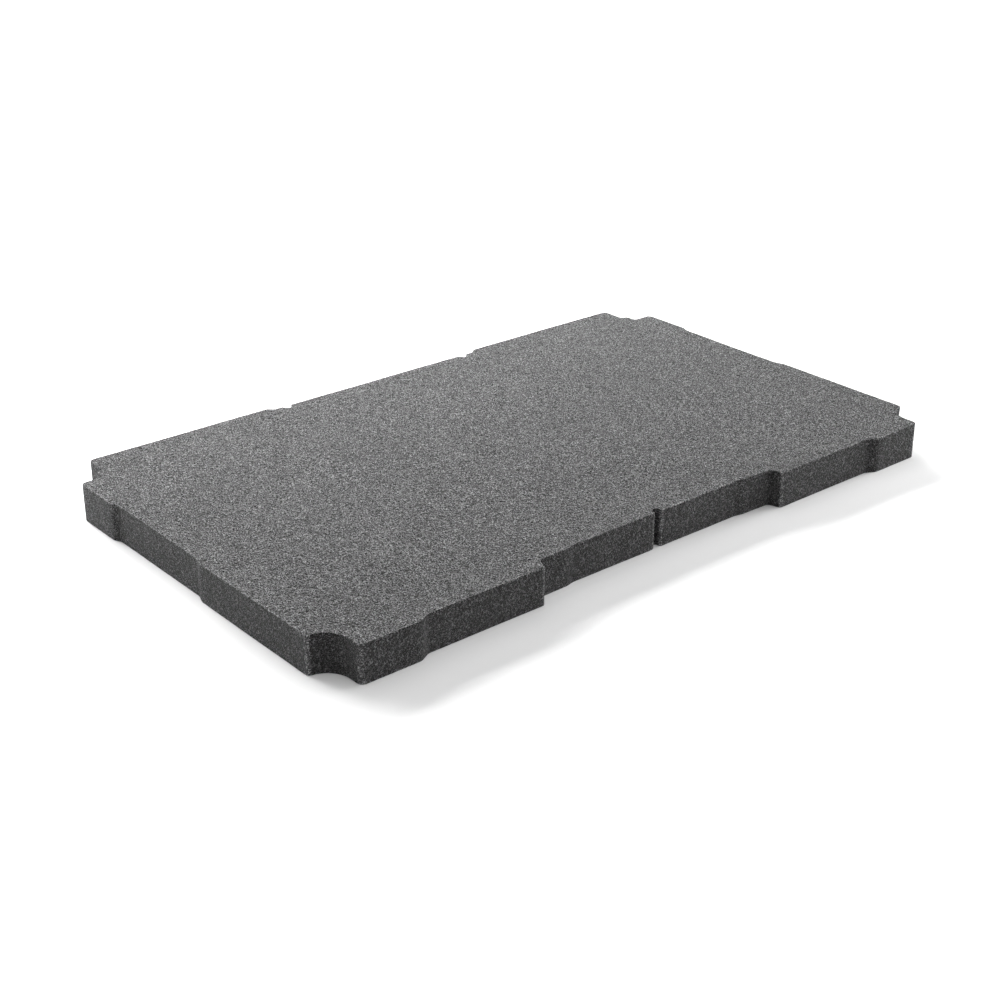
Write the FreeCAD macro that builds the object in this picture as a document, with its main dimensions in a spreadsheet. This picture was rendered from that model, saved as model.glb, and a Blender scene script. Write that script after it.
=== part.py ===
"""Case foam pad: one flat sheet of open-cell foam, cut square through to the inside outline of a moulded case.

Millimetres, +Z up. The origin is at the middle of the underside, +X runs along the pad's length and -Y is the
front, the latch side. The outline mirrors about X = 0. It is a rectangular blank with a cut for each thing that
stands out of the case's walls: four corner posts, shallow wall panels on all four sides, the latch housing with
its rib at the front, and two hinge ribs at the back.
"""

import FreeCAD, Part
import os
import Sketcher

# Driving dimensions, in millimetres. "half" sizes are measured from X = 0, and depths go in from the edge named.
SIZES = {
    "blank_length": 500.0,
    "blank_width": 304.0,
    "foam_thickness": 25.0,
    "overrun": 6.0,
    # Front corner posts: a round end centred on the side edge, open to the front.
    "front_post_radius": 16.0,
    "front_post_setback": 10.0,
    # Back corner posts: a square cut with a smaller step left in its inner corner.
    "back_post_reach_x": 21.1,
    "back_post_reach_y": 29.2,
    "back_step_reach_x": 16.0,
    "back_step_reach_y": 19.6,
    # Front wall panel: a shallow relief with sloping ends.
    "front_mouth_half": 193.0,
    "front_floor_half": 186.0,
    "front_depth": 4.0,
    # Latch housing: a deeper recess inside the front relief, a little deeper again over its middle.
    "latch_mouth_half": 101.0,
    "latch_corner_half": 98.7,
    "latch_shoulder_half": 75.5,
    "latch_floor_half": 69.5,
    "latch_corner_depth": 12.6,
    "latch_shoulder_depth": 13.1,
    "latch_depth": 14.5,
    "latch_rib_radius": 2.5,
    "latch_rib_run": 2.5,
    # Back wall panel and the two hinge ribs inside it.
    "back_mouth_half": 92.0,
    "back_floor_half": 88.3,
    "back_depth": 3.9,
    "hinge_rib_half": 78.5,
    "hinge_rib_radius": 3.1,
    "hinge_rib_run": 0.9,
    # Side wall panels, measured from the front edge.
    "side_depth": 2.5,
    "side_mouth_front": 133.0,
    "side_floor_front": 140.0,
    "side_floor_back": 231.0,
    "side_mouth_back": 236.0,
    # Roundings that the cutter leaves on the upright corners.
    "outer_round": 3.6,
    "latch_round": 3.5,
    "step_round": 2.8,
    "post_round": 2.2,
    "small_round": 1.2,
    "ramp_round": 6.0,
}
SHEET = "Sizes"

document = FreeCAD.newDocument("case_foam_pad")


def make_sheet():
    """Writes the driving dimensions to a spreadsheet, one aliased cell for each."""
    sheet = document.addObject("Spreadsheet::Sheet", SHEET)
    for row, (alias, number) in enumerate(SIZES.items(), start=1):
        sheet.set(f"A{row}", alias)
        sheet.set(f"B{row}", str(number))
        sheet.setAlias(f"B{row}", alias)
    document.recompute()


def amount(term):
    """The number that a term such as '-front_depth' or '0' starts from before its expression takes over."""
    if term == "0":
        return 0.0
    return -SIZES[term[1:]] if term.startswith("-") else SIZES[term]


def expression(term):
    """The same term as an expression on the sheet."""
    if term == "0":
        return "0"
    return f"-{SHEET}.{term[1:]}" if term.startswith("-") else f"{SHEET}.{term}"


def origin_plane(body, role):
    """One of a body's own origin planes."""
    return next(feature for feature in body.Origin.OriginFeatures if feature.Role == role)


def make_sketch(body, name, offset_x="0", offset_y="0", turn=0):
    """A sketch on the body's underside, its own origin moved by two expressions and turned about Z."""
    sketch = body.newObject("Sketcher::SketchObject", name)
    sketch.AttachmentSupport = [(origin_plane(body, "XY_Plane"), "")]
    sketch.MapMode = "FlatFace"
    sketch.AttachmentOffset = FreeCAD.Placement(
        FreeCAD.Vector(0, 0, 0), FreeCAD.Rotation(FreeCAD.Vector(0, 0, 1), turn)
    )
    sketch.setExpression("AttachmentOffset.Base.x", offset_x)
    sketch.setExpression("AttachmentOffset.Base.y", offset_y)
    return sketch


def place_point(sketch, edge, end, corner):
    """Dimensions one end of an edge from the sketch's origin."""
    for kind, term in zip(("DistanceX", "DistanceY"), corner):
        index = sketch.addConstraint(Sketcher.Constraint(kind, -1, 1, edge, end, amount(term)))
        if term != "0":
            sketch.setExpression(f"Constraints[{index}]", expression(term))


def draw_polygon(sketch, corners):
    """A closed outline of straight edges, each corner a pair of terms."""
    points = [FreeCAD.Vector(amount(x), amount(y), 0) for x, y in corners]
    for start, finish in zip(points, points[1:] + points[:1]):
        sketch.addGeometry(Part.LineSegment(start, finish))
    for edge in range(len(corners)):
        following = (edge + 1) % len(corners)
        sketch.addConstraint(Sketcher.Constraint("Coincident", edge, 2, following, 1))
    for edge, corner in enumerate(corners):
        place_point(sketch, edge, 1, corner)


def draw_rib_slot(sketch, radius, run):
    """A round-ended slot into +Y: two straight sides from behind the edge, then a half circle past the run."""
    half, centre, mouth = SIZES[radius], SIZES[run], -SIZES["overrun"]
    left_mouth = FreeCAD.Vector(-half, mouth, 0)
    left_end = FreeCAD.Vector(-half, centre, 0)
    tip = FreeCAD.Vector(0, centre + half, 0)
    right_end = FreeCAD.Vector(half, centre, 0)
    right_mouth = FreeCAD.Vector(half, mouth, 0)
    left, bend, right, back = sketch.addGeometry(
        [
            Part.LineSegment(left_mouth, left_end),
            Part.Arc(left_end, tip, right_end),
            Part.LineSegment(right_end, right_mouth),
            Part.LineSegment(right_mouth, left_mouth),
        ]
    )
    # A three-point arc through the tip runs clockwise, so FreeCAD stores it from its right end to its left end.
    sketch.addConstraint(Sketcher.Constraint("Tangent", left, 2, bend, 2))
    sketch.addConstraint(Sketcher.Constraint("Tangent", right, 1, bend, 1))
    sketch.addConstraint(Sketcher.Constraint("Coincident", right, 2, back, 1))
    sketch.addConstraint(Sketcher.Constraint("Coincident", back, 2, left, 1))
    sketch.addConstraint(Sketcher.Constraint("Vertical", left))
    sketch.addConstraint(Sketcher.Constraint("Horizontal", back))
    place_point(sketch, bend, 3, ("0", run))
    place_point(sketch, left, 1, (f"-{radius}", "-overrun"))


def draw_front_post(sketch):
    """The front right post, from that corner of the blank: a straight wall, then a quarter circle to the side."""
    radius, setback, out = SIZES["front_post_radius"], SIZES["front_post_setback"], SIZES["overrun"]
    centre = FreeCAD.Vector(0, setback, 0)
    wall_mouth = FreeCAD.Vector(-radius, -out, 0)
    wall_end = FreeCAD.Vector(-radius, setback, 0)
    side_end = FreeCAD.Vector(0, setback + radius, 0)
    side_out = FreeCAD.Vector(out, setback + radius, 0)
    corner_out = FreeCAD.Vector(out, -out, 0)
    middle = centre + FreeCAD.Vector(-radius, radius, 0) * 0.5**0.5
    wall, bend, ledge, outside, front = sketch.addGeometry(
        [
            Part.LineSegment(wall_mouth, wall_end),
            Part.Arc(wall_end, middle, side_end),
            Part.LineSegment(side_end, side_out),
            Part.LineSegment(side_out, corner_out),
            Part.LineSegment(corner_out, wall_mouth),
        ]
    )
    # The clockwise quarter circle is stored the other way round, from the side back to the wall.
    sketch.addConstraint(Sketcher.Constraint("Tangent", wall, 2, bend, 2))
    sketch.addConstraint(Sketcher.Constraint("Tangent", ledge, 1, bend, 1))
    sketch.addConstraint(Sketcher.Constraint("Coincident", ledge, 2, outside, 1))
    sketch.addConstraint(Sketcher.Constraint("Coincident", outside, 2, front, 1))
    sketch.addConstraint(Sketcher.Constraint("Coincident", front, 2, wall, 1))
    sketch.addConstraint(Sketcher.Constraint("Vertical", wall))
    sketch.addConstraint(Sketcher.Constraint("Vertical", outside))
    sketch.addConstraint(Sketcher.Constraint("Horizontal", ledge))
    sketch.addConstraint(Sketcher.Constraint("Horizontal", front))
    place_point(sketch, bend, 3, ("0", "front_post_setback"))
    place_point(sketch, wall, 1, ("-front_post_radius", "-overrun"))
    reach = sketch.addConstraint(Sketcher.Constraint("DistanceX", -1, 1, outside, 1, out))
    sketch.setExpression(f"Constraints[{reach}]", expression("overrun"))


def cut_through(body, name, sketch):
    """A pocket through the whole sheet. Its sketch lies on the underside, so it points up into the foam."""
    pocket = body.newObject("PartDesign::Pocket", name)
    pocket.Profile = sketch
    pocket.Type = "ThroughAll"
    pocket.Reversed = True
    before = body.Shape.Volume
    document.recompute()
    if not body.Shape.Volume < before - 1:
        raise RuntimeError(f"{name} removes nothing")
    return pocket


def mirrored_ends(half, depth):
    """Two corners of a symmetrical cut, left then right."""
    return [(f"-{half}", depth), (half, depth)]


def make_blank(body):
    """The rectangular blank, before its outline is cut."""
    sketch = make_sketch(
        body, "blank_outline", f"-{SHEET}.blank_length / 2", f"-{SHEET}.blank_width / 2"
    )
    draw_polygon(
        sketch, [("0", "0"), ("blank_length", "0"), ("blank_length", "blank_width"), ("0", "blank_width")]
    )
    blank = body.newObject("PartDesign::Pad", "blank")
    blank.Profile = sketch
    blank.setExpression("Length", expression("foam_thickness"))
    document.recompute()


def cut_centred_features(body):
    """The cuts that cross X = 0: the front relief, the latch housing with its rib, and the back relief."""
    front_edge = f"-{SHEET}.blank_width / 2"
    back_edge = f"{SHEET}.blank_width / 2"

    sketch = make_sketch(body, "front_relief_outline", "0", front_edge)
    draw_polygon(
        sketch,
        [
            ("-front_mouth_half", "-overrun"),
            ("-front_mouth_half", "0"),
            *mirrored_ends("front_floor_half", "front_depth"),
            ("front_mouth_half", "0"),
            ("front_mouth_half", "-overrun"),
        ],
    )
    cut_through(body, "front_relief", sketch)

    sketch = make_sketch(body, "latch_recess_outline", "0", front_edge)
    draw_polygon(
        sketch,
        [
            ("-latch_mouth_half", "-overrun"),
            ("-latch_mouth_half", "front_depth"),
            ("-latch_corner_half", "latch_corner_depth"),
            ("-latch_shoulder_half", "latch_shoulder_depth"),
            *mirrored_ends("latch_floor_half", "latch_depth"),
            ("latch_shoulder_half", "latch_shoulder_depth"),
            ("latch_corner_half", "latch_corner_depth"),
            ("latch_mouth_half", "front_depth"),
            ("latch_mouth_half", "-overrun"),
        ],
    )
    cut_through(body, "latch_recess", sketch)

    sketch = make_sketch(body, "latch_rib_outline", "0", f"{front_edge} + {SHEET}.latch_depth")
    draw_rib_slot(sketch, "latch_rib_radius", "latch_rib_run")
    cut_through(body, "latch_rib_slot", sketch)

    sketch = make_sketch(body, "back_relief_outline", "0", back_edge)
    draw_polygon(
        sketch,
        [
            ("-back_mouth_half", "overrun"),
            ("-back_mouth_half", "0"),
            *mirrored_ends("back_floor_half", "-back_depth"),
            ("back_mouth_half", "0"),
            ("back_mouth_half", "overrun"),
        ],
    )
    cut_through(body, "back_relief", sketch)


def cut_paired_features(body):
    """The cuts that come in pairs, made on the +X side and then mirrored to the other."""
    right_edge = f"{SHEET}.blank_length / 2"
    front_edge = f"-{SHEET}.blank_width / 2"
    back_edge = f"{SHEET}.blank_width / 2"
    cuts = []

    sketch = make_sketch(body, "front_post_outline", right_edge, front_edge)
    draw_front_post(sketch)
    cuts.append(cut_through(body, "front_post_cut", sketch))

    sketch = make_sketch(body, "back_post_outline", right_edge, back_edge)
    draw_polygon(
        sketch,
        [
            ("-back_post_reach_x", "overrun"),
            ("-back_post_reach_x", "-back_step_reach_y"),
            ("-back_step_reach_x", "-back_step_reach_y"),
            ("-back_step_reach_x", "-back_post_reach_y"),
            ("overrun", "-back_post_reach_y"),
            ("overrun", "overrun"),
        ],
    )
    cuts.append(cut_through(body, "back_post_cut", sketch))

    sketch = make_sketch(body, "side_relief_outline", right_edge, front_edge)
    draw_polygon(
        sketch,
        [
            ("overrun", "side_mouth_front"),
            ("0", "side_mouth_front"),
            ("-side_depth", "side_floor_front"),
            ("-side_depth", "side_floor_back"),
            ("0", "side_mouth_back"),
            ("overrun", "side_mouth_back"),
        ],
    )
    cuts.append(cut_through(body, "side_relief", sketch))

    sketch = make_sketch(
        body, "hinge_rib_outline", f"{SHEET}.hinge_rib_half", f"{back_edge} - {SHEET}.back_depth", turn=180
    )
    draw_rib_slot(sketch, "hinge_rib_radius", "hinge_rib_run")
    cuts.append(cut_through(body, "hinge_rib_slot", sketch))

    mirrored = body.newObject("PartDesign::Mirrored", "left_hand_cuts")
    mirrored.Originals = cuts
    mirrored.MirrorPlane = (origin_plane(body, "YZ_Plane"), [""])
    body.Tip = mirrored
    document.recompute()


def upright_edges(shape, places):
    """The names of the upright edges at the given X, Y places and at their mirror places."""
    wanted = {(round(side * x, 3), round(y, 3)) for x, y in places for side in (-1, 1)}
    names = []
    found = set()
    for number, edge in enumerate(shape.Edges, start=1):
        low, high = edge.Vertexes[0].Point, edge.Vertexes[-1].Point
        if abs(low.x - high.x) > 0.001 or abs(low.y - high.y) > 0.001:
            continue
        place = (round(low.x, 3), round(low.y, 3))
        if place in wanted:
            names.append(f"Edge{number}")
            found.add(place)
    if found != wanted:
        raise RuntimeError(f"no upright edge at {sorted(wanted - found)}")
    return names


def round_corners(body, name, radius, places):
    """A fillet down every upright corner at the given places."""
    base = body.Tip
    fillet = body.newObject("PartDesign::Fillet", name)
    fillet.Base = (base, upright_edges(base.Shape, places))
    fillet.setExpression("Radius", expression(radius))
    document.recompute()


def round_outline(body):
    """Rounds the outline's corners, each kind with its own radius."""
    size = SIZES
    side, front, back = size["blank_length"] / 2, -size["blank_width"] / 2, size["blank_width"] / 2
    front_ledge = front + size["front_post_setback"] + size["front_post_radius"]
    back_ledge = back - size["back_post_reach_y"]
    step_ledge = back - size["back_step_reach_y"]
    step_wall = side - size["back_step_reach_x"]
    back_post_wall = side - size["back_post_reach_x"]
    front_post_wall = side - size["front_post_radius"]
    side_floor = side - size["side_depth"]

    rounds = {
        "outer_round": [(front_post_wall, front), (back_post_wall, back), (side, back_ledge)],
        "ramp_round": [
            (size["front_mouth_half"], front),
            (size["front_floor_half"], front + size["front_depth"]),
            (side, front + size["side_mouth_front"]),
            (side_floor, front + size["side_floor_front"]),
            (side_floor, front + size["side_floor_back"]),
            (side, front + size["side_mouth_back"]),
        ],
        "latch_round": [(size["latch_corner_half"], front + size["latch_corner_depth"])],
        "step_round": [(step_wall, step_ledge)],
        "post_round": [(side, front_ledge), (step_wall, back_ledge), (back_post_wall, step_ledge)],
        "small_round": [
            (size["latch_mouth_half"], front + size["front_depth"]),
            (size["latch_rib_radius"], front + size["latch_depth"]),
            (size["back_mouth_half"], back),
            (size["back_floor_half"], back - size["back_depth"]),
        ],
    }
    for radius, places in rounds.items():
        round_corners(body, f"{radius}_fillets", radius, places)


def make_foam_pad():
    """The whole pad, cut from one sheet."""
    body = document.addObject("PartDesign::Body", "foam_pad")
    body.Label = "foam_pad"
    make_blank(body)
    cut_centred_features(body)
    cut_paired_features(body)
    round_outline(body)
    body.Placement = FreeCAD.Placement(FreeCAD.Vector(0, 0, 0), FreeCAD.Rotation())
    return body


def check_document(bodies):
    """Stops before anything is written if any object failed or any body has no sound solid."""
    document.recompute()
    for item in document.Objects:
        if "Invalid" in item.State or "Error" in item.State:
            raise RuntimeError(f"{item.Label} failed: {item.State}")
    for body in bodies:
        if body.Shape.isNull() or not body.Shape.isValid() or len(body.Shape.Solids) != 1:
            raise RuntimeError(f"{body.Label} isn't one valid solid")


make_sheet()
pieces = [make_foam_pad()]
check_document(pieces)
os.makedirs("parts", exist_ok=True)
for piece in pieces:
    piece.Shape.exportStep(f"parts/{piece.Label}.step")
    box = piece.Shape.BoundBox
    print(
        f"{piece.Label}: {box.XLength:.2f} x {box.YLength:.2f} x {box.ZLength:.2f} mm,",
        f"{piece.Shape.Volume / 1000:.1f} cm3, {len(piece.Shape.Faces)} faces",
    )
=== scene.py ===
"""Looks of a flat foam pad that lines a moulded case: one slab of charcoal foam, cut straight through.

The slab is one mesh. Its outline is read from the CAD node, its rims are rounded, and every face is
broken up into open cells about a millimetre across. All sizes are in metres, in the CAD model's frame.
"""

import math

import bmesh
import bpy
import numpy as np
from mathutils import Euler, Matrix, Vector, geometry, kdtree, noise


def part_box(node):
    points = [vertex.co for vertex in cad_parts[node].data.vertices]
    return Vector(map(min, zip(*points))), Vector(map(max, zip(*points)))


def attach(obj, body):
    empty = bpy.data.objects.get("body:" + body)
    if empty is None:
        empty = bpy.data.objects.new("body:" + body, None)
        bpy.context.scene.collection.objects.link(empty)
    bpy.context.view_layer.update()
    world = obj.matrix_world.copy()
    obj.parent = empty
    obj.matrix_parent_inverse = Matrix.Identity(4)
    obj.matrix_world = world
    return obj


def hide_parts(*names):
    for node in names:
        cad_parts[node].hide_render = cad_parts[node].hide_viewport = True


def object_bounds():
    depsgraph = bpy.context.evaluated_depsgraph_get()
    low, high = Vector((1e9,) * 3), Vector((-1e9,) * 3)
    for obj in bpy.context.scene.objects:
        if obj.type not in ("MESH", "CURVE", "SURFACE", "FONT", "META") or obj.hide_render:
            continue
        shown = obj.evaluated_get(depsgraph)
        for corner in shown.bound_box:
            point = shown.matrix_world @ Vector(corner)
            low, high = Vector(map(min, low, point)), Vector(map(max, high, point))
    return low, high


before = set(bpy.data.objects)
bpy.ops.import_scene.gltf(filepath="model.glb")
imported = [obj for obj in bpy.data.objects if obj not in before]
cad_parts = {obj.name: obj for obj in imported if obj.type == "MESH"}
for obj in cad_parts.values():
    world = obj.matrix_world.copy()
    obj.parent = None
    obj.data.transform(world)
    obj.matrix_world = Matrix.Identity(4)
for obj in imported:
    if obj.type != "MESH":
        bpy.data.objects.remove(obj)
cad_low, cad_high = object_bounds()

PAD = "foam_pad"
MM = 0.001

# The foam's surface
CELL = 0.95 * MM  # distance between neighbouring cells
FACE_PIT = 0.6 * MM  # depth of the deepest cells on the two flat faces
WALL_PIT = 0.2 * MM  # the same on the cut walls, where the blade has closed them a little
EDGE_CALM = 0.7  # share of that depth that is lost at the rims and the sharp corners
FACE_SCATTER = 0.3  # how far a cell may lie from its place in an even pattern, as a share of CELL
WALL_SCATTER = 0.28
EDGE_GAP = 0.6 * CELL  # distance that the cells on the faces keep from the rim
TOP_RIM = 0.4 * MM  # rounding of the rim round the top face
BOTTOM_RIM = 0.3 * MM
RIM_STEPS = 2
CORNER_EASE = 0.7 * MM  # how much the soft foam eases the sharp corners of the cut
SWELL = 0.25 * MM  # height of the long, shallow swells in the top face
SWELL_LENGTH = 45 * MM
SWELL_DROP = 0.3  # share of their height that the swells are lowered by, to stay close to the CAD face
WANDER = 0.12 * MM  # how far the cut wanders to either side
WANDER_LENGTH = 30 * MM

# The outline's bends, per metre, as one over the radius
ROOM_IN_BEND = 0.5  # share of a convex corner's radius that a rim may take up
BEND_REACH = 2  # points to either side that a tight bend is felt at
SHARP_BEND = 130.0  # bend at which a corner starts to get a painted highlight, shallower pits and steadier wall cells
SHARPEST_BEND = 340.0  # and at which it has them fully
HOLLOW_BEND = 35.0  # inward bend at which a hollow gets its full painted shade
HOLLOW_BLUR = 1.6 * MM  # how softly a hollow's painted shade starts

# Reading the CAD node
SAME_POINT = 1e-6
FACES_UP = 0.5  # least upward part of a top face's normal

# The foam's colour, and the sizes of its grain, in bumps per metre
FOAM_GREY = (0.059, 0.059, 0.0595)
CELLS_PER_METRE = 1700.0
GRAIN_PER_METRE = 1300.0
DRIFT_PER_METRE = 14.0
TUFTS_PER_METRE = 28.0
BUMP_HEIGHT = 0.8 * MM

# The studio: a round, pale floor inside pale walls that fade into a dim ceiling
FLOOR_RADIUS = 4.6
FLOOR_SIDES = 96
FLOOR_GAP = 0.1 * MM
WALL_LIGHT = 1.0
CEILING_LIGHT = 0.06
WALL_TOP = (0.2, 0.4)  # the walls fade out between these heights, as sines of the elevation
FAR_LAMPS = 6  # lamps in a ring over the far floor
FAR_RADIUS = 3.6
FAR_HEIGHT = 2.6
FAR_START = 50.0  # direction of the first of them, in degrees

# The camera: where it stands and how it is turned
CAMERA_PLACE = (-0.67698, -0.78604, 0.47350)
CAMERA_HEADING = math.radians(40.333)  # from +Y towards +X
CAMERA_DIP = math.radians(25.333)  # below the horizon
CAMERA_ROLL = math.radians(0.234)
CAMERA_LENS = 61.468  # mm
CAMERA_SENSOR = 36.0  # mm

random = np.random.default_rng(20)


# ---------------------------------------------------------------- outline

def outline_of(node):
    """The plan outline of a flat CAD node, anticlockwise, as the corners of its top face."""
    shape = bmesh.new()
    shape.from_mesh(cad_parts[node].data)
    bmesh.ops.remove_doubles(shape, verts=shape.verts, dist=SAME_POINT)
    shape.normal_update()
    following = {}
    for face in shape.faces:
        if face.normal.z < FACES_UP:
            continue
        for loop in face.loops:
            beyond = loop.link_loop_radial_next.face
            if beyond.normal.z < FACES_UP:
                following[loop.vert] = loop.link_loop_next.vert
    corners = [next(iter(following))]
    while len(corners) < len(following):
        corners.append(following[corners[-1]])
    places = np.array([corner.co[:2] for corner in corners])
    shape.free()
    return places


def evenly(corners, spacing):
    """Points about spacing apart all the way round a closed line, each as one complex number, x + iy."""
    closed = np.vstack([corners, corners[:1]])
    steps = np.hypot(*np.diff(closed, axis=0).T)
    along = np.concatenate([[0], np.cumsum(steps)])
    count = round(along[-1] / spacing)
    places = np.arange(count) * along[-1] / count
    return np.interp(places, along, closed[:, 0]) + 1j * np.interp(places, along, closed[:, 1])


def blurring(waves, distance):
    """The share of each wave, in waves per metre, that a blur over a distance leaves."""
    return np.exp(-2 * (math.pi * waves * distance) ** 2)


class Outline:
    """The eased cut line: its points, the directions along it and out of it, and how sharply it turns."""

    def __init__(self, corners):
        rough = evenly(corners, CELL)
        waves = np.fft.fftfreq(len(rough), CELL)
        eased = np.fft.fft(rough) * blurring(waves, CORNER_EASE)
        self.points = np.fft.ifft(eased)
        along = np.fft.ifft(eased * 2j * math.pi * waves)
        self.along = along / abs(along)
        self.outward = -1j * self.along
        turn = np.angle(np.roll(self.along, -1) / np.roll(self.along, 1))
        self.bend = turn / (2 * CELL)
        reach = range(-BEND_REACH, BEND_REACH + 1)
        sharpest = np.max([np.roll(self.bend, step) for step in reach], axis=0)
        # fringe: how sharp a corner is; it steadies the wall cells, calms the pits and sets a painted
        # highlight in the foam's colour
        self.fringe = np.clip((self.bend - SHARP_BEND) / (SHARPEST_BEND - SHARP_BEND), 0, 1)
        soft_bend = np.fft.ifft(np.fft.fft(self.bend) * blurring(waves, HOLLOW_BLUR)).real
        # where the painted shade near inner corners goes, from 0 to 1
        self.hollow = np.clip(-soft_bend / HOLLOW_BEND, 0, 1)
        self.room = ROOM_IN_BEND / np.maximum(sharpest, 1.0)

    def inset(self, distance):
        """The line moved inwards by a distance, or by less where a tight corner has no room for it."""
        return self.points - np.minimum(distance, self.room) * self.outward


def flat(plan, height):
    """Complex plan points as rows of x, y, z at one height or at a height each."""
    return np.column_stack([plan.real, plan.imag, np.broadcast_to(height, plan.shape)])


# ---------------------------------------------------------------- mesh

def wall_rings(outline, top, bottom):
    """The loops of points from the top face over its rim, down the wall and under the bottom rim.

    Each loop is (points, normals, how far it belongs to the wall, how far it belongs to a rim), where
    the last two go from 0 to 1.
    """
    count = len(outline.points)
    rings = []

    def rim(height, radius, up, angles):
        for angle in angles:
            plan = outline.inset(radius * (1 - math.sin(angle)))
            level = height - up * radius * (1 - math.cos(angle))
            normals = flat(outline.outward * math.sin(angle), up * math.cos(angle))
            rings.append((flat(plan, level), normals, math.sin(angle), 1.0))

    quarter = [step * math.pi / 2 / RIM_STEPS for step in range(RIM_STEPS + 1)]
    rim(top, TOP_RIM, 1, quarter)
    upper, lower = top - TOP_RIM, bottom + BOTTOM_RIM
    rows = round((upper - lower) / CELL)
    step = (upper - lower) / rows
    for row in range(1, rows):
        shift = random.uniform(-WALL_SCATTER, WALL_SCATTER, count) * CELL * (1 - outline.fringe)
        level = upper - row * step + random.uniform(-WALL_SCATTER, WALL_SCATTER, count) * step
        plan = outline.points + shift * outline.along
        rings.append((flat(plan, level), flat(outline.outward, 0.0), 1.0, 0.0))
    rim(bottom, BOTTOM_RIM, -1, quarter[::-1])
    return rings


def scattered_inside(edge, outward):
    """Cell centres scattered all over the inside of a closed line, clear of the line itself."""
    rise = CELL * math.sqrt(3) / 2
    across = np.arange(edge.real.min(), edge.real.max(), CELL)
    up = np.arange(edge.imag.min(), edge.imag.max(), rise)
    grid_x, grid_y = np.meshgrid(across, up)
    grid_x = grid_x + (np.arange(len(up)) % 2)[:, None] * CELL / 2
    plan = (grid_x + 1j * grid_y).ravel()
    shift_x = random.uniform(-FACE_SCATTER, FACE_SCATTER, plan.size)
    shift_y = random.uniform(-FACE_SCATTER, FACE_SCATTER, plan.size)
    plan = plan + CELL * (shift_x + 1j * shift_y)
    tree = kdtree.KDTree(len(edge))
    for index, point in enumerate(edge):
        tree.insert((point.real, point.imag, 0), index)
    tree.balance()
    kept = []
    for point in plan:
        _, index, distance = tree.find((point.real, point.imag, 0))
        depth = ((edge[index] - point) * outward[index].conjugate()).real
        if depth > 0 and distance > EDGE_GAP:
            kept.append(point)
    return np.array(kept)


def triangles_between(edge, inside):
    """Triangles over a closed line and the points inside it, numbered with the line's points first."""
    plan = [Vector((point.real, point.imag)) for point in np.concatenate([edge, inside])]
    found = geometry.delaunay_2d_cdt(plan, [], [list(range(len(edge)))], 1, 1e-9)
    faces, sources = found[2], found[3]
    return np.array([[sources[corner][0] for corner in face] for face in faces])


def swell(points, length, seed):
    """Smooth noise from about -1 to 1 at each point, with bumps about length apart."""
    shift = Vector((seed, 2.3 * seed, 0))
    return np.array([noise.noise(Vector(point) / length + shift) for point in points])


def open_cells(count):
    """How deep each point lies in its cell, from 0 to 1: mostly shallow, a few deep."""
    return random.random(count) ** 2


def build_pad():
    """The foam slab as one closed mesh, with every vertex a cell or the wall between cells."""
    low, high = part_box(PAD)
    outline = Outline(outline_of(PAD))
    count = len(outline.points)
    rings = wall_rings(outline, high.z, low.z)
    edge = outline.inset(TOP_RIM)
    inside = scattered_inside(edge, outline.outward)
    cap = triangles_between(edge, inside)

    up = np.tile([0.0, 0.0, 1.0], (len(inside), 1))
    points = np.vstack([ring[0] for ring in rings] + [flat(inside, high.z), flat(inside, low.z)])
    normals = np.vstack([ring[1] for ring in rings] + [up, -up])
    on_faces = np.zeros(2 * len(inside))
    wall = np.concatenate([np.full(count, ring[2]) for ring in rings] + [on_faces])
    rim = np.concatenate([np.full(count, ring[3]) for ring in rings] + [on_faces])
    # sharp corners on the walls; the material paints a highlight along them
    corner = np.concatenate([outline.fringe * ring[2] for ring in rings] + [on_faces])
    # the mask for painted shade near inner corners, on the walls only
    hollow = np.concatenate([outline.hollow * ring[2] for ring in rings] + [on_faces])

    depth = open_cells(len(points))
    relief = -depth * (FACE_PIT + (WALL_PIT - FACE_PIT) * wall) * (1 - EDGE_CALM * np.maximum(corner, rim))
    relief += WANDER * wall * swell(points, WANDER_LENGTH, 5.0)
    upward = np.clip(normals[:, 2], 0, 1)
    relief += SWELL * upward * (swell(points, SWELL_LENGTH, 1.0) - SWELL_DROP)
    points = points + normals * relief[:, None]

    ring_start = np.arange(len(rings) - 1)[:, None] * count
    here = np.arange(count)
    after = (here + 1) % count
    quads = np.stack([here + ring_start, here + ring_start + count,
                      after + ring_start + count, after + ring_start], axis=-1).reshape(-1, 4)
    last = (len(rings) - 1) * count
    beyond = len(rings) * count
    top_cap = np.where(cap < count, cap, cap - count + beyond)
    bottom_cap = np.where(cap < count, cap + last, cap - count + beyond + len(inside))[:, ::-1]
    faces = quads.tolist() + top_cap.tolist() + bottom_cap.tolist()

    mesh = bpy.data.meshes.new("foam_slab")
    mesh.from_pydata(points.tolist(), [], faces)
    traits = {"pit": depth, "wall": wall, "rim": rim, "corner": corner, "hollow": hollow}
    for name, values in traits.items():
        mesh.attributes.new(name, "FLOAT", "POINT").data.foreach_set("value", values.astype(np.float32))
    mesh.polygons.foreach_set("use_smooth", np.ones(len(faces), bool))
    mesh.update()
    slab = bpy.data.objects.new("foam_slab", mesh)
    bpy.context.scene.collection.objects.link(slab)
    return slab


# ---------------------------------------------------------------- materials

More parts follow.
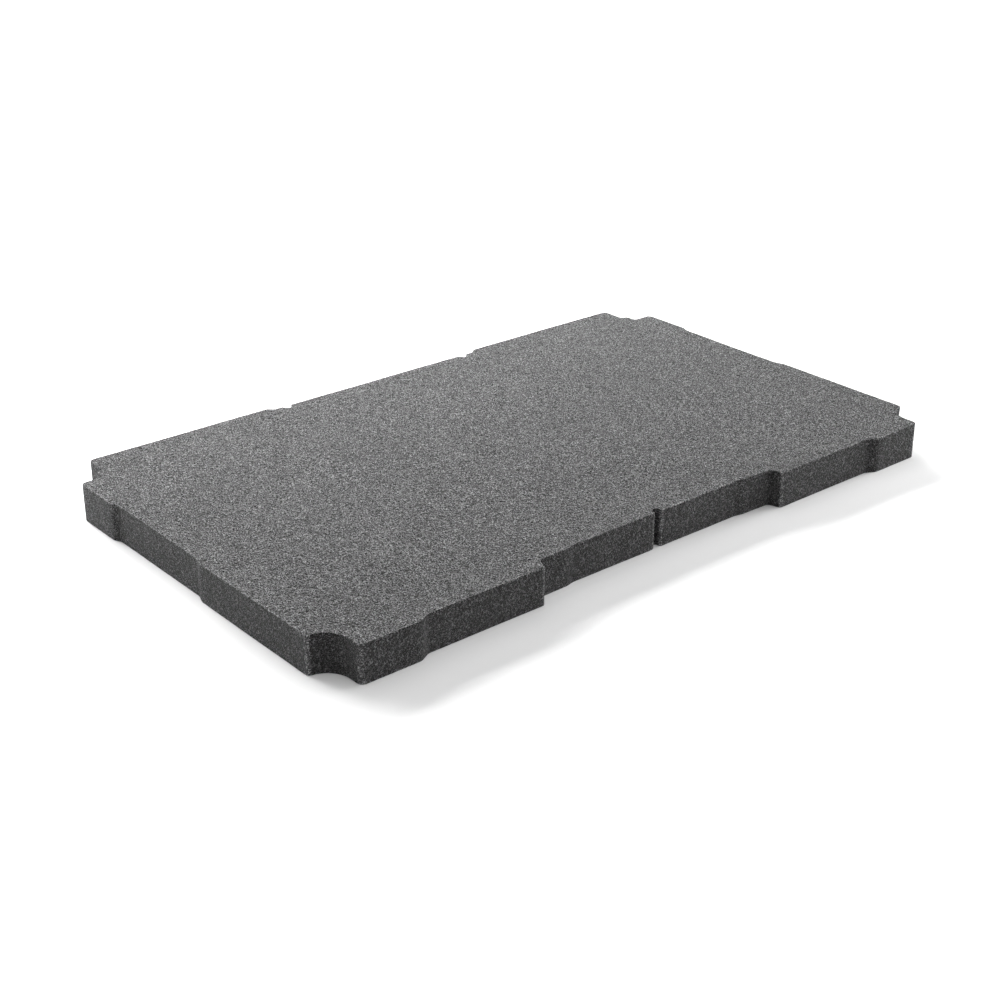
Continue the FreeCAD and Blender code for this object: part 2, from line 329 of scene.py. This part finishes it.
class Nodes:
    """A short way to write a material's nodes: each call adds one node and joins up its inputs."""

    def __init__(self, name):
        self.material = bpy.data.materials.new(name)
        self.material.use_nodes = True
        self.tree = self.material.node_tree
        self.shader = self.tree.nodes["Principled BSDF"]

    def add(self, kind, inputs=None, **settings):
        node = self.tree.nodes.new(kind)
        for name, value in settings.items():
            setattr(node, name, value)
        for name, value in (inputs or {}).items():
            self.feed(node.inputs[name], value)
        return node

    def feed(self, socket, value):
        if isinstance(value, bpy.types.NodeSocket):
            self.tree.links.new(value, socket)
        else:
            socket.default_value = value

    def join(self, operation, first, second):
        return self.add("ShaderNodeMath", {0: first, 1: second}, operation=operation).outputs[0]

    def sum(self, first, second):
        return self.join("ADD", first, second)

    def times(self, first, second):
        return self.join("MULTIPLY", first, second)

    def power(self, base, exponent):
        return self.join("POWER", base, exponent)

    def ranged(self, value, low, high, to_low, to_high):
        inputs = {"Value": value, "From Min": low, "From Max": high, "To Min": to_low, "To Max": to_high}
        return self.add("ShaderNodeMapRange", inputs).outputs["Result"]

    def noise(self, place, scale, detail):
        inputs = {"Vector": place, "Scale": scale, "Detail": detail}
        return self.add("ShaderNodeTexNoise", inputs).outputs["Fac"]

    def attribute(self, name):
        return self.add("ShaderNodeAttribute", attribute_name=name).outputs["Fac"]


def foam_material():
    """Charcoal open-cell foam: light grain with painted shade in its pits, darker cut walls (partly
    painted shade), painted shade in the hollows, rims paler (partly fuzz, partly painted highlight) and
    painted highlights on sharp corners.
    """
    nodes = Nodes("foam")
    place = nodes.add("ShaderNodeTexCoord").outputs["Object"]
    wall = nodes.attribute("wall")
    corner = nodes.attribute("corner")

    cells = nodes.add("ShaderNodeTexVoronoi", {"Vector": place, "Scale": CELLS_PER_METRE})
    cell_chance = nodes.add("ShaderNodeSeparateColor", {"Color": cells.outputs["Color"]}).outputs["Red"]
    grain = nodes.noise(place, GRAIN_PER_METRE, 1.0)
    drift = nodes.noise(place, DRIFT_PER_METRE, 3.0)
    tufts = nodes.noise(place, TUFTS_PER_METRE, 2.0)

    # How bright the speckle is, about 1 on average, with painted shade that darkens the deeper cells: a
    # little starker on the cut walls
    cell_tone = nodes.ranged(cell_chance, 0.3, 0.7, 0.0, 2.05)
    grain_tone = nodes.ranged(grain, 0.37, 0.63, 0.0, 2.0)
    # painted shade: colour from 1.3 in the shallowest cells down to 0.25 in the deepest
    painted_pit_shade = nodes.ranged(nodes.attribute("pit"), 0.0, 1.0, 1.3, 0.25)
    speckle = nodes.times(nodes.times(cell_tone, grain_tone), painted_pit_shade)
    speckle = nodes.power(speckle, nodes.ranged(wall, 0.0, 1.0, 1.0, 1.12))

    # Broad differences: a slow drift, cut walls darker, partly for their denser cut and partly as painted
    # shade, and painted shade in the hollows
    drift_tone = nodes.ranged(drift, 0.3, 0.7, 0.96, 1.04)
    # partly painted shade: the walls at 0.54 of the top's tone, standing in for the top catching more
    # light
    wall_cut_and_shade_tone = nodes.ranged(wall, 0.0, 1.0, 1.0, 0.54)
    # painted shade: darker by up to a fifth near inner corners
    painted_hollow_shade = nodes.ranged(nodes.attribute("hollow"), 0.0, 1.0, 1.0, 0.8)
    tone = nodes.times(nodes.times(speckle, drift_tone), nodes.times(wall_cut_and_shade_tone, painted_hollow_shade))

    # Rims are paler in tufts, partly lighter fuzz and partly a painted highlight, and sharp corners get a
    # painted highlight all along
    rim_fuzz_and_highlight = nodes.times(nodes.attribute("rim"), nodes.ranged(tufts, 0.5, 0.7, 0.3, 1.5))
    fuzz_and_painted_highlight = nodes.sum(rim_fuzz_and_highlight, nodes.times(corner, 1.5))
    tone = nodes.times(tone, nodes.sum(fuzz_and_painted_highlight, 1.0))
    # painted highlight: a pale line added along sharp corners
    tone = nodes.sum(tone, nodes.times(corner, 0.7))

    grey = nodes.add("ShaderNodeVectorMath", {0: FOAM_GREY, "Scale": tone}, operation="SCALE")
    nodes.feed(nodes.shader.inputs["Base Color"], grey.outputs["Vector"])
    nodes.feed(nodes.shader.inputs["Roughness"], nodes.ranged(speckle, 0.3, 1.6, 1.0, 0.82))
    nodes.feed(nodes.shader.inputs["Specular IOR Level"], 0.25)
    nodes.feed(nodes.shader.inputs["Sheen Weight"], 0.12)
    nodes.feed(nodes.shader.inputs["Sheen Roughness"], 0.5)

    height = nodes.sum(cells.outputs["Distance"], nodes.times(grain, 0.5))
    bump = nodes.add("ShaderNodeBump", {"Height": height, "Strength": 1.0, "Distance": BUMP_HEIGHT})
    nodes.feed(nodes.shader.inputs["Normal"], bump.outputs["Normal"])
    return nodes.material


def floor_material():
    nodes = Nodes("pale_floor")
    place = nodes.add("ShaderNodeTexCoord").outputs["Object"]
    tone = nodes.ranged(nodes.noise(place, 3.0, 2.0), 0.3, 0.7, 0.91, 0.93)
    nodes.feed(nodes.shader.inputs["Base Color"], tone)
    nodes.feed(nodes.shader.inputs["Roughness"], 0.9)
    return nodes.material


# ---------------------------------------------------------------- stage

def build_floor():
    level = cad_low.z - FLOOR_GAP
    turns = [math.tau * step / FLOOR_SIDES for step in range(FLOOR_SIDES)]
    ring = [(FLOOR_RADIUS * math.cos(turn), FLOOR_RADIUS * math.sin(turn), level) for turn in turns]
    mesh = bpy.data.meshes.new("floor")
    mesh.from_pydata(ring, [], [range(FLOOR_SIDES)])
    floor = bpy.data.objects.new("floor", mesh)
    floor.data.materials.append(floor_material())
    bpy.context.scene.collection.objects.link(floor)


def softbox(name, place, target, width, depth, power, spread=180):
    lamp = bpy.data.lights.new(name, "AREA")
    lamp.shape = "RECTANGLE"
    lamp.size = width
    lamp.size_y = depth
    lamp.energy = power
    lamp.spread = math.radians(spread)
    holder = bpy.data.objects.new(name, lamp)
    holder.location = place
    facing = Vector(target) - Vector(place)
    holder.rotation_euler = facing.to_track_quat("-Z", "Y").to_euler()
    bpy.context.scene.collection.objects.link(holder)


def studio_walls():
    """A pale studio: bright at the horizon, dimmer towards the ceiling."""
    world = bpy.data.worlds.new("studio")
    world.use_nodes = True
    nodes = world.node_tree.nodes
    links = world.node_tree.links
    direction = nodes.new("ShaderNodeTexCoord")
    parts = nodes.new("ShaderNodeSeparateXYZ")
    fade = nodes.new("ShaderNodeMapRange")
    fade.interpolation_type = "SMOOTHSTEP"
    start, end = WALL_TOP
    limits = {"From Min": start, "From Max": end, "To Min": WALL_LIGHT, "To Max": CEILING_LIGHT}
    for name, value in limits.items():
        fade.inputs[name].default_value = value
    links.new(direction.outputs["Generated"], parts.inputs["Vector"])
    links.new(parts.outputs["Z"], fade.inputs["Value"])
    links.new(fade.outputs["Result"], nodes["Background"].inputs["Strength"])
    nodes["Background"].inputs["Color"].default_value = (1.0, 1.0, 1.0, 1.0)
    bpy.context.scene.world = world


def light_scene():
    """Soft light from above and behind, a little from the right, and a ring of lamps for the far floor."""
    softbox("overhead", (0.0, 0.0, 2.4), (0.0, 0.0, 0.0), 4.0, 4.0, 34.0)
    softbox("back", (0.05, 0.9, 0.42), (0.0, 0.0, 0.0), 1.4, 0.6, 48.0)
    softbox("side", (1.0, -0.35, 0.35), (0.1, 0.0, 0.0), 0.5, 0.4, 8.5)
    softbox("front", (0.3, -1.3, 0.5), (0.0, 0.0, 0.0), 1.2, 0.4, 1.5)
    for step in range(FAR_LAMPS):
        angle = math.radians(FAR_START + 360.0 / FAR_LAMPS * step)
        across, along = FAR_RADIUS * math.cos(angle), FAR_RADIUS * math.sin(angle)
        place, below = (across, along, FAR_HEIGHT), (across, along, 0.0)
        softbox("far_" + str(step), place, below, 4.0, 4.0, 80.0, spread=60)
    studio_walls()
    bpy.context.scene.view_settings.view_transform = "Standard"


def place_camera():
    lens = bpy.data.cameras.new("camera")
    lens.lens = CAMERA_LENS
    lens.sensor_width = CAMERA_SENSOR
    lens.clip_start = 0.01
    camera = bpy.data.objects.new("camera", lens)
    camera.location = CAMERA_PLACE
    turn = Euler((0, 0, -CAMERA_HEADING)).to_matrix()
    tilt = Euler((math.pi / 2 - CAMERA_DIP, 0, 0)).to_matrix()
    roll = Euler((0, 0, CAMERA_ROLL)).to_matrix()
    camera.rotation_euler = (turn @ tilt @ roll).to_euler()
    bpy.context.scene.collection.objects.link(camera)
    bpy.context.scene.camera = camera


# ---------------------------------------------------------------- the scene

place_camera()
light_scene()
build_floor()

slab = build_pad()
slab.data.materials.append(foam_material())
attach(slab, "root")
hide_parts(PAD)
